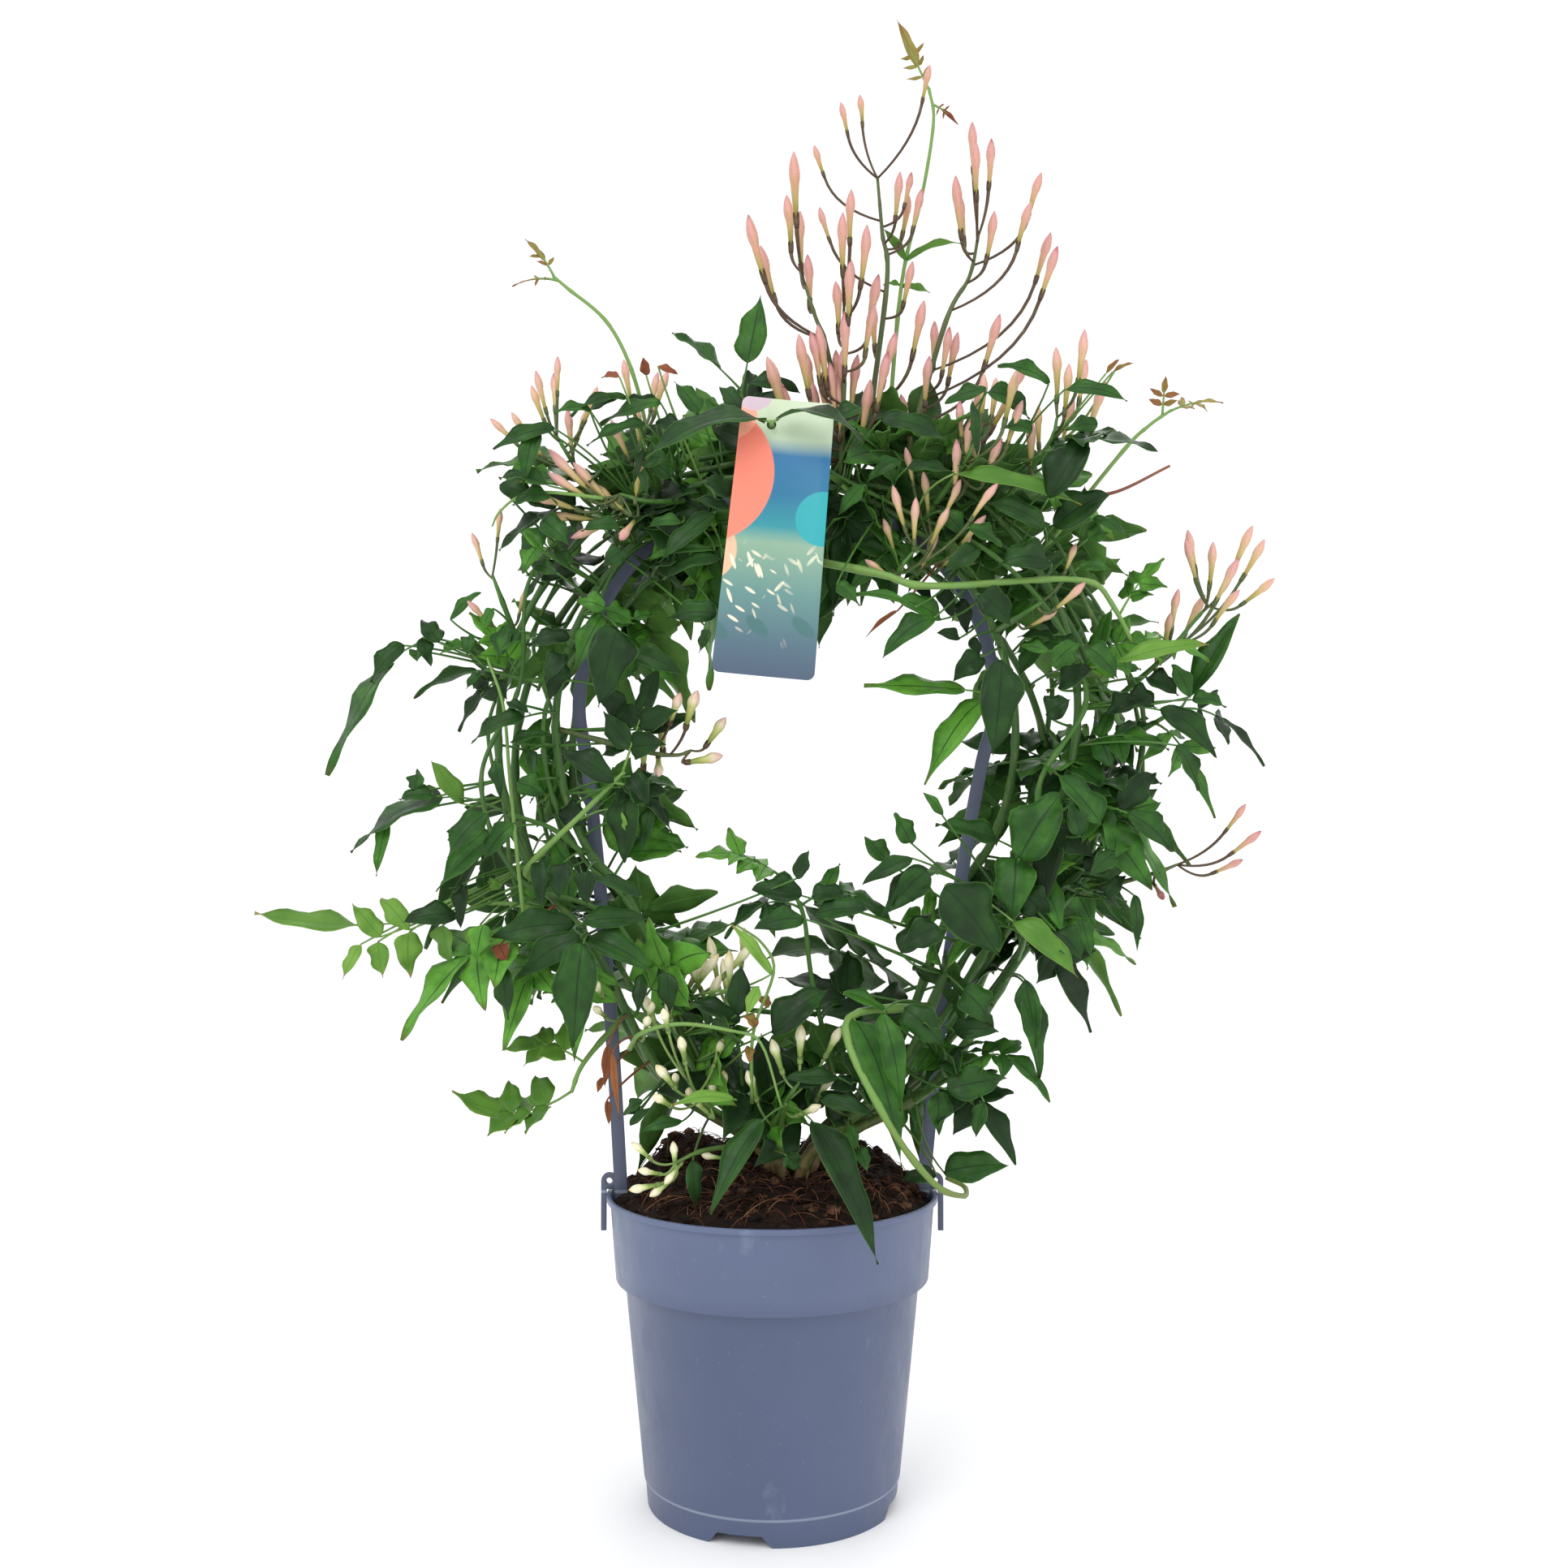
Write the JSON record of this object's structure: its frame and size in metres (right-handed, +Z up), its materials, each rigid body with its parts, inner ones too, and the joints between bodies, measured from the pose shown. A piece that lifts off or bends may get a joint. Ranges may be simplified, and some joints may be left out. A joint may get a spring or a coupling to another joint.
{
  "type": "potted jasmine wreath",
  "caption": "Pink jasmine trained as a wreath over a flat plastic hoop in a round nursery pot, with pinnate leaves, sprays of pink and cream buds and a patterned hanging plant label",
  "frame": {"origin": "centre of the pot's underside, on its central foot hub", "axes": "+Z up; the wreath lies in the XZ plane and its front looks towards -Y"},
  "size_m": [0.4271, 0.1546, 0.6341],
  "materials": {
    "plastic": "blue-grey satin polypropylene",
    "soil": "loose dark peat with coir fibres",
    "label": "printed plastic card, satin",
    "vines": "smooth green stems, brown at the foot",
    "leaves": "glossy dark green leaves",
    "leaves_young": "satin bright green young leaves",
    "buds_pink": "satin pink buds on dark stalks",
    "buds_cream": "satin cream buds on green stalks"
  },
  "bodies": {
    "root": {"pot": "plastic", "soil": "soil", "hoop": "plastic", "vine_left_1": "vines", "vine_left_2": "vines", "vine_left_3": "vines", "vine_left_4": "vines", "vine_right_1": "vines", "vine_right_2": "vines", "vine_right_3": "vines", "vine_right_4": "vines", "label": "label", "spray_top_middle": "buds_pink", "spray_top_left": "buds_pink", "spray_top_low": "buds_pink", "spray_top_right": "buds_pink", "spray_shoulder_outer": "buds_pink", "spray_shoulder_inner": "buds_pink", "spray_front_right": "buds_pink", "spray_arch_right": "buds_pink", "spray_right": "buds_pink", "spray_right_low": "buds_pink", "spray_left_outer": "buds_pink", "spray_left_inner": "buds_pink", "spray_left_level": "buds_pink", "spray_left_side": "buds_pink", "spray_hole_left": "buds_cream", "spray_low_back": "buds_cream", "spray_low_left": "buds_cream", "spray_low_right": "buds_cream", "spray_over_soil": "buds_cream", "shoot_tip": "leaves_young", "shoot_arch_left": "leaves_young", "shoot_right": "leaves_young", "trail_left_high": "leaves", "trail_left_mid": "leaves", "trail_left_bright": "leaves_young", "shoot_low_left": "leaves", "trail_low_bright": "leaves_young", "shoot_label": "leaves_young", "shoot_hole_low": "leaves", "shoot_hole_right": "leaves_young", "shoot_level": "leaves_young", "shoot_diagonal": "leaves_young", "shoot_loop": "leaves_young", "shoot_right_tip": "leaves", "shoot_top_left": "leaves", "shoot_over_pot": "leaves", "shoot_low_right": "leaves", "shoot_mid_right": "leaves", "shoot_upper_right": "leaves", "shoot_shoulder_right": "leaves", "shoot_shoulder_left": "leaves", "back_right_low": "leaves", "back_right_high": "leaves", "back_top_right": "leaves", "back_top_left": "leaves", "back_left_high": "leaves", "back_left_low": "leaves", "back_low": "leaves"}
  },
  "joints": []
}
